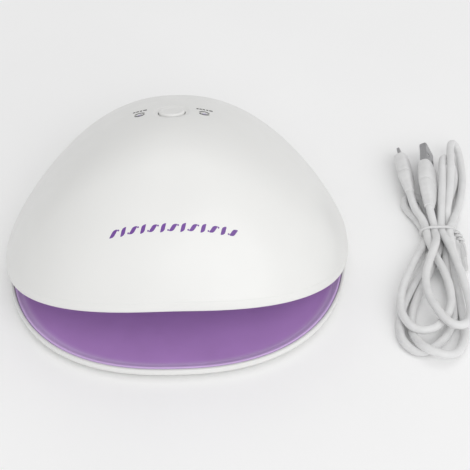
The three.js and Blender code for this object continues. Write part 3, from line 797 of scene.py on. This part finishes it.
def build_bosses():
    """The screw bosses that stand inside the shell."""
    for side, sign in SIDES.items():
        for row, (x, y) in BASE_SCREWS.items():
            away = math.hypot(x, y)
            outer_x, outer_y = x * (1 + BOSS_CLEAR / away), y * (1 + BOSS_CLEAR / away)
            top = float(dome_height(np.array(outer_x), np.array(outer_y))) - WALL
            tube = [
                (BOSS_BORE_R, SKIRT_Z), (BOSS_R - 0.3, SKIRT_Z), (BOSS_R, SKIRT_Z + 0.3),
                (BOSS_R + 0.2, top), (BOSS_BORE_R, top),
            ]
            cos, sin = circle(32)
            rings = [np.stack([sign * x + r * cos, y + r * sin, np.full(32, z)], axis=1) for r, z in tube]
            name = f"shell_boss_{row}_{side}"
            piece(name, loft(name, rings, joined=True), "shell_white", "lamp", "shell_white")


def button_frame():
    peak = float(dome_height(np.array(0.0), np.array(float(BUTTON_Y))))
    return at(0, BUTTON_Y, peak) @ Matrix.Rotation(-BUTTON_TILT, 4, "X")


# ---- reflector and its light sources ----
def vault_frame(x):
    """The frame of an LED board over the vault; -Z shines into the hand space."""
    climb = math.sqrt(1 - (x / MOUTH_HALF) ** 2)
    lean = math.copysign(math.atan((abs(x) / MOUTH_HALF ** 2) / (climb / VAULT_RISE)), x) if x else 0.0
    lift = 1.1 if x else 0.4
    z = MOUTH_FOOT + VAULT_RISE * climb
    return at(x + lift * math.sin(lean), 0, z + lift * math.cos(lean)) @ Matrix.Rotation(lean, 4, "Y")


def bead_places():
    """Each LED's name and place."""
    for side, x, columns, rows in (("centre", 0, (-BEAD_X, BEAD_X), BEAD_ROWS),
                                   ("left", -SIDE_BOARD_X, (0,), SIDE_BEAD_ROWS),
                                   ("right", SIDE_BOARD_X, (0,), SIDE_BEAD_ROWS)):
        count = 0
        for column in columns:
            for row in rows:
                count += 1
                yield f"{side}_{count}", vault_frame(x) @ at(column, row)


LINER_CLIMB = 62  # how high the rounded wall would reach without the vault and the dome
LINER_ROUNDNESS = 9
DOME_BLEND = 5
WALL_BLEND = 7


def liner_height(x, y):
    """The underside of the reflector: a vault under the dome, closed by a rounded wall at the back."""
    shrink = (HALF - LINER_INSET - LINER_WALL) / HALF
    flatten = (PEAK - SKIRT_Z - LINER_INSET - LINER_WALL) / (PEAK - SKIRT_Z)
    dome = SKIRT_Z + (dome_height(x / shrink, y / shrink) - SKIRT_Z) * flatten
    side = HALF - LINER_INSET - LINER_WALL
    across = np.hypot(x / side, np.clip(y, 0, None) / (CAVITY_REAR - LINER_WALL))
    wall = LINER_FOOT + LINER_CLIMB * np.sqrt(np.clip(1 - across ** LINER_ROUNDNESS, 0, None))
    ceiling = smooth_min(arch_height(x, VAULT_RISE - LINER_WALL), dome, DOME_BLEND)
    return np.maximum(smooth_min(ceiling, wall, WALL_BLEND), LINER_FOOT)


BEAD_HOLE_R = 3.1


def build_reflector():
    cos, sin = circle(AROUND)
    side = HALF - LINER_INSET - LINER_WALL

    def inside(x, y):
        held = share_at(x * HALF / side, y * HALF / side) <= 1
        across = np.hypot(x / side, np.clip(y, 0, None) / (CAVITY_REAR - LINER_WALL))
        cut_off = LINER_FOOT + (arch_height(x) - LINER_FOOT) * smooth_step(-y, 0, 7)
        return held & (across <= 1) & ((y >= 0) | (liner_height(x, y) >= cut_off))

    reach = furthest(cos, sin, 0, inside)
    steps = np.sin(np.linspace(0.004, 1, 80) * math.pi / 2)[:, None]
    x, y = steps * reach * cos, steps * reach * sin
    inner = np.stack([x, y, liner_height(x, y)], axis=2)
    normal, _ = grid_normals(inner)
    outer = inner + LINER_WALL * normal
    rings = np.concatenate([inner, outer[::-1]])
    mesh = loft("reflector_vault", rings, sharp=50)
    liner = piece("reflector_vault", mesh, "reflector", "lamp", "reflector", "inner_reflector")
    hole = [(0, -7), (BEAD_HOLE_R, -7), (BEAD_HOLE_R, 3), (0, 3)]
    cut(liner, *[lathe("hole", hole, place) for _, place in bead_places()])
    build_lenses()


def build_lenses():
    """The domed lens of each LED."""
    lens = [
        (0, -4.2), (0.7, -4.15), (1.4, -3.9), (2.0, -3.4), (2.35, -2.8), (2.5, -2.1), (2.7, -2.0),
        (2.7, -GAP), (0, -GAP),
    ]
    for number, place in bead_places():
        name = f"led_lens_{number}"
        piece(name, lathe(name, lens, place), "lens", "lamp", "lens", f"led_bead_{number}")


# ---- base, tray, feet and screws ----
def outline_point(cos, sin, inset):
    """Plan points of the outline, moved in by `inset`."""
    y = reach_of(sin) * np.sign(sin) * np.abs(sin) ** (2 / CORNER)
    x = width_at(y) * np.sign(cos) * np.abs(cos) ** (2 / CORNER)
    return x * (HALF - inset) / HALF, y * (HALF - inset) / HALF


def wall_top(y):
    return RIM_FRONT_Z + (RIM_REAR_Z - RIM_FRONT_Z) * smooth_step(y, -30, 0)


RIM_FOLLOWS_Z = PLATE_TOP + 1.6


def swept(rows, cos, sin):
    """Rings of a profile round the outline; heights over the rim's front edge follow the rim."""
    rings = []
    for inset, height in rows:
        x, y = outline_point(cos, sin, inset)
        over = height - RIM_FRONT_Z
        z = np.where(height > RIM_FOLLOWS_Z, wall_top(y) + over, height) + 0 * x
        rings.append(np.stack([x, y, z], axis=1))
    return rings


def build_base():
    """The base pan with its rounded edge and rim, and the screws and feet under it."""
    cos, sin = circle(AROUND)
    top = RIM_FRONT_Z
    rows = [
        (HALF - 0.01, BASE_Z), (60, BASE_Z), (30, BASE_Z), (12, BASE_Z), (6.2, BASE_Z), (5.0, 1.46),
        (4.0, 1.68), (3.1, 2.1), (2.4, 2.7), (1.98, 3.3), (1.84, 3.9), (BASE_INSET, 4.6),
        (BASE_INSET, top - 0.4), (1.88, top - 0.14), (2.1, top), (2.9, top), (3.1, top - 0.1),
        (RIM_INSET, top - 0.3), (RIM_INSET, PLATE_TOP), (12, PLATE_TOP), (40, PLATE_TOP),
        (HALF - 0.01, PLATE_TOP),
    ]
    mesh = loft("base_pan", swept(rows, cos, sin), sharp=45)
    base = piece("base_pan", mesh, "shell_white", "lamp", "shell_white", "base_shell")
    cutters = []
    for side, sign in SIDES.items():
        for row, (x, y) in BASE_SCREWS.items():
            cutters.append(lathe("recess", [(0, 0), (3.4, 0), (3.1, 2.9), (0, 2.9)], at(sign * x, y)))
            build_case_screw(f"{row}_{side}", sign * x, y)
        for row, (x, y) in FEET.items():
            cutters.append(lathe("recess", [(0, 0), (5.3, 0), (5.3, 2.3), (0, 2.3)], at(sign * x, y)))
            build_foot(f"{row}_{side}", sign * x, y)
    cut(base, *cutters)


SCREW_HEAD_Z = 2.7
CROSS_REACH = 1.6
CROSS_HALF = 0.32


def build_case_screw(where, x, y):
    """A screw whose domed head faces down in its recess, with a cross cut into it."""
    profile = [
        (0, SCREW_HEAD_Z), (1.6, 2.72), (2.4, 2.85), (2.75, 3.15), (2.8, 4.3), (1.2, 4.3), (1.2, 15.4),
        (0.4, 16), (0, 16),
    ]
    mesh = lathe("screw", profile, at(x, y))
    made = piece(f"case_screw_{where}", mesh, "screw_steel", "lamp", "screw_steel", f"base_screw_{where}")
    place = at(x, y, SCREW_HEAD_Z)
    bars = ((CROSS_REACH, CROSS_HALF), (CROSS_HALF, CROSS_REACH))
    cut(made, *[box_mesh("bar", (-a, -b, -1), (a, b, 1.1), place) for a, b in bars])


def build_foot(where, x, y):
    """A rubber foot with a rounded sole that is sunk in the middle."""
    profile = [
        (0, 0.12), (3.2, 0.12), (3.5, 0), (4.1, 0), (4.6, 0.2), (4.9, 0.55), (5, 1), (5, 2), (0, 2),
    ]
    piece(f"foot_pad_{where}", lathe("foot", profile, at(x, y)), "rubber", "lamp", "rubber",
          f"rubber_foot_{where}")


def build_tray():
    """The floor tray: flat, with a hollow curve up to its edge, and cut off at the cavity's rear wall."""
    cos, sin = circle(AROUND)
    inset = RIM_INSET + GAP
    top = RIM_FRONT_Z
    rows = [
        (HALF - 0.01, TRAY_FLOOR_Z), (60, TRAY_FLOOR_Z), (30, TRAY_FLOOR_Z), (14, TRAY_FLOOR_Z),
        (9.8, TRAY_FLOOR_Z), (8.6, 5.03), (7.6, 5.12), (6.7, 5.3), (5.9, 5.58), (5.2, 5.93), (4.7, 6.24),
        (4.3, top - 0.02), (4.0, top), (3.75, top - 0.04), (3.58, top - 0.16), (inset, top - 0.4),
        (inset, 4.3), (4.3, TRAY_UNDER_Z), (12, TRAY_UNDER_Z), (40, TRAY_UNDER_Z),
        (HALF - 0.01, TRAY_UNDER_Z),
    ]
    rings = []
    for row_inset, height in rows:
        x, y = outline_point(cos, sin, row_inset)
        side = HALF - inset
        limit = (HALF - row_inset) / (HALF - inset)
        across = np.hypot(x / side, np.clip(y, 0, None) / CAVITY_REAR)
        pull = np.where(y > 0, np.minimum(limit / np.maximum(across, 1e-6), 1), 1)
        rings.append(np.stack([x * pull, y * pull, np.full_like(x, height)], axis=1))
    mesh = loft("tray_floor", rings, sharp=45)
    piece("tray_floor", mesh, "tray_purple", "lamp", "tray_purple", "floor_tray")


# ---- button, timer lights and printed marks ----
PIPE_FOOT = BOARD_TOP + 1.6


def build_controls():
    """The button, which has a shallow ring in its top, and the two light pipes beside it."""
    place = button_frame()
    profile = [
        (0, -6.3), (1.6, -6.3), (1.6, -4.4), (7.6, -4.4), (7.6, -3.6), (BUTTON_R, -3.6), (BUTTON_R, -0.45),
        (6.32, -0.1), (6.1, 0.13), (5.75, 0.26), (5.2, 0.3), (4.9, 0.26), (4.6, 0.14), (4.2, 0.08), (3, 0.12),
        (1.5, 0.16), (0, 0.18),
    ]
    piece("start_button", lathe("start_button", profile, place, 72), "shell_white", "button", "shell_white",
          "power_button")
    for side, sign in SIDES.items():
        spot = place @ at(sign * LIGHT_X, 0)
        drop = surface_drop(spot)
        pipe = [
            (0, PIPE_FOOT), (1.1, PIPE_FOOT), (1.1, drop - 0.25), (0.9, drop - 0.05), (0.5, drop + 0.03),
            (0, drop + 0.05),
        ]
        name = f"indicator_{side}"
        piece(name, lathe(name, pipe, spot, 32), "lens", "lamp", "lens", f"timer_light_{side}")
    build_marks()


def surface_drop(place):
    """How far along the frame's Z the shell's surface lies from its origin."""
    drop = 0.0
    for _ in range(8):
        point = place @ Vector((0, 0, drop))
        drop += float(dome_height(np.array(point.x), np.array(point.y))) - point.z
    return drop


def on_shell(x, y, lift):
    """A point over the shell's outer surface, `lift` along its normal."""
    step = 0.5
    z = float(dome_height(np.array(x), np.array(y)))
    slope_x = (float(dome_height(np.array(x + step), np.array(y))) - z) / step
    slope_y = (float(dome_height(np.array(x), np.array(y + step))) - z) / step
    normal = Vector((-slope_x, -slope_y, 1)).normalized()
    return Vector((x, y, z)) + lift * normal


PRINT_LIFT = 0.06
PRINT_SINK = 0.15


def printed(name, mesh, place, material):
    """Lays a flat closed mesh, drawn in millimetres in its own XY plane, onto the shell."""
    for vertex in mesh.vertices:
        x, y = place(vertex.co.x, vertex.co.y)
        vertex.co = on_shell(x, y, PRINT_LIFT if vertex.co.z > 0 else -PRINT_SINK) * MM
    piece(name, smoothed(mesh), material, "lamp", "shell_white")


def slab(name, outline):
    """A thin closed plate in the XY plane with the outline given."""
    count = len(outline)
    points = [(x, y, z) for z in (-0.1, 0.1) for x, y in outline]
    faces = [tuple(reversed(range(count))), tuple(range(count, 2 * count))]
    faces += [(k, (k + 1) % count, count + (k + 1) % count, count + k) for k in range(count)]
    mesh = bpy.data.meshes.new(name)
    mesh.from_pydata(points, [], faces)
    return mesh


# each bar's middle and width, over the left and the right indicator
MARK_BARS = {
    "left": ((-3.1, 1.2), (-1.4, 1.4), (0.4, 1.1), (2.4, 1.9)),
    "right": ((-3.4, 1.1), (-1.9, 1.2), (-0.3, 1.3), (1.4, 1.1), (3.2, 1.7)),
}


BAR_SHAPE = ((-1, -0.8), (1, -1), (0.9, 1), (-1, 0.85))
BAR_HALF_HEIGHT = 0.8
BARS_ABOVE = 5.6  # from an indicator's middle to its row of bars
RING_OUTER = 2.75
RING_INNER = 1.8
RING_SWEEP = 150
ARC_STEPS = 16


def build_marks():
    """A split ring round each indicator with a row of plain bars over it, and a purple ornament."""
    lean = math.cos(BUTTON_TILT)
    for side, sign in SIDES.items():
        def beside(u, v, x=sign * LIGHT_X):
            return x + u, BUTTON_Y + v * lean

        def above(u, v, x=sign * LIGHT_X):
            return x + u, BUTTON_Y + (BARS_ABOVE + v) * lean

        for number, (centre, width) in enumerate(MARK_BARS[side]):
            bar = [(centre + width / 2 * a, BAR_HALF_HEIGHT * b) for a, b in BAR_SHAPE]
            printed(f"mark_{side}_{number + 1}", slab("bar", bar), above, "print_grey")
        for half, start in enumerate((15, 195)):
            printed(f"ring_{side}_{half + 1}", slab("ring", arc_outline(start)), beside, "print_grey")
    build_ornament()


def arc_outline(start):
    """Half of a split ring, from `start` degrees on."""
    outline = []
    for radius, turns in ((RING_OUTER, range(ARC_STEPS + 1)), (RING_INNER, range(ARC_STEPS, -1, -1))):
        for step in turns:
            angle = math.radians(start + RING_SWEEP * step / ARC_STEPS)
            outline.append((radius * math.cos(angle), radius * math.sin(angle)))
    return outline


ORNAMENT_HALF = 27.6
ORNAMENT_X = 1.6
ORNAMENT_Y = -53.6
ORNAMENT_SQUASH = 0.76  # the plan depth of a mark as a share of its height on the sloping front
LEAVES = 13
LEAF_HALF_LENGTH = 2.5
LEAF_HALF_WIDTH = 0.95
DOT_R = 0.42
DOT_RISE = 1.1


def leaf_outline(half_length, half_width, tilt):
    """A pointed leaf with a slight S to it."""
    outline = []
    for turn in range(28):
        angle = turn / 28 * 2 * math.pi
        along = half_length * math.cos(angle)
        across = half_width * math.sin(angle) * abs(math.sin(angle)) ** 0.6
        across += 0.09 * half_length * math.sin(math.pi * math.cos(angle))
        outline.append((along * math.cos(tilt) - across * math.sin(tilt),
                        along * math.sin(tilt) + across * math.cos(tilt)))
    return outline


def build_ornament():
    """A row of slanted leaves with dots between them across the front."""
    angles = [step * math.pi / 8 for step in range(16)]
    dot = [(DOT_R * math.cos(angle), DOT_R * math.sin(angle)) for angle in angles]
    for number in range(LEAVES):
        share = number / (LEAVES - 1) * 2 - 1
        centre = ORNAMENT_X + share * ORNAMENT_HALF
        between = centre - ORNAMENT_HALF / (LEAVES - 1)
        rise = DOT_RISE if number % 2 else -DOT_RISE

        def on_leaf(u, v, x=centre):
            return x + u, ORNAMENT_Y + ORNAMENT_SQUASH * v

        def on_dot(u, v, x=between, up=rise):
            return x + u, ORNAMENT_Y + ORNAMENT_SQUASH * (v + up)

        tilt = math.radians(58 if number % 2 else 40)
        leaf = leaf_outline(LEAF_HALF_LENGTH, LEAF_HALF_WIDTH, tilt)
        printed(f"leaf_{number + 1}", slab("leaf", leaf), on_leaf, "ornament")
        if number:
            printed(f"dot_{number}", slab("dot", dot), on_dot, "ornament")


# ---- surroundings, in metres ----
FLOOR_REACH = 3.0
FLOOR_Z = -0.0002
WORLD_STRENGTH = 0.6
LIGHT_AIM = Vector((0.02, 0, 0.03))
LIGHTS = (
    # name, place, size and power in watts
    ("key", (0.8, -1.4, 1.15), 2.2, 17),
    ("fill", (-0.9, -0.9, 0.7), 0.9, 0.6),
    ("top", (0.1, 0.3, 1.5), 1.2, 2.5),
)


def build_stage():
    """A pale floor just under the feet."""
    floor = bpy.data.meshes.new("floor")
    corners = [(x * FLOOR_REACH, y * FLOOR_REACH, 0) for x, y in ((-1, -1), (1, -1), (1, 1), (-1, 1))]
    floor.from_pydata(corners, [], [(0, 1, 2, 3)])
    made = bpy.data.objects.new("floor", floor)
    bpy.context.scene.collection.objects.link(made)
    shader = Shader("floor", Roughness=0.9, Specular_IOR_Level=0.1)
    stops = [(0.3, grey(0.96)), (0.7, grey(0.98))]
    shader.ramp(shader.noise(120, 2), stops, shader.surface.inputs["Base Color"])
    floor.materials.append(shader.material)
    made.location.z = FLOOR_Z


def add_light(name, place, size, power):
    data = bpy.data.lights.new(name, "AREA")
    data.shape = "DISK"
    data.size = size
    data.energy = power
    light = bpy.data.objects.new(name, data)
    light.location = place
    aim = LIGHT_AIM - Vector(place)
    light.rotation_euler = aim.to_track_quat("-Z", "Y").to_euler()
    bpy.context.scene.collection.objects.link(light)


def build_light():
    world = bpy.data.worlds.new("studio")
    world.use_nodes = True
    background = world.node_tree.nodes["Background"]
    background.inputs["Color"].default_value = (1, 1, 1, 1)
    background.inputs["Strength"].default_value = WORLD_STRENGTH
    bpy.context.scene.world = world
    bpy.context.scene.view_settings.view_transform = "Standard"
    for name, place, size, power in LIGHTS:
        add_light(name, place, size, power)


def finish_carried_nodes():
    """Gives the CAD nodes that stay visible their own materials and softened edges."""
    slots = {row["node"]: row["material_slot"] for row in frame["record"]["subparts"]}
    for name, node in frame["nodes"].items():
        node.data.materials.clear()
        node.data.materials.append(MATERIALS[slots[name]])
        low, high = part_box(name)
        bevel = node.modifiers.new("edges", "BEVEL")
        bevel.width = min(0.0002, 0.08 * min(high - low))
        bevel.segments = 2
        bevel.limit_method = "ANGLE"
        bevel.angle_limit = math.radians(50)


add_camera()
build_cable()
build_upper_shell()
build_reflector()
build_base()
build_tray()
build_controls()
finish_carried_nodes()
build_stage()
build_light()
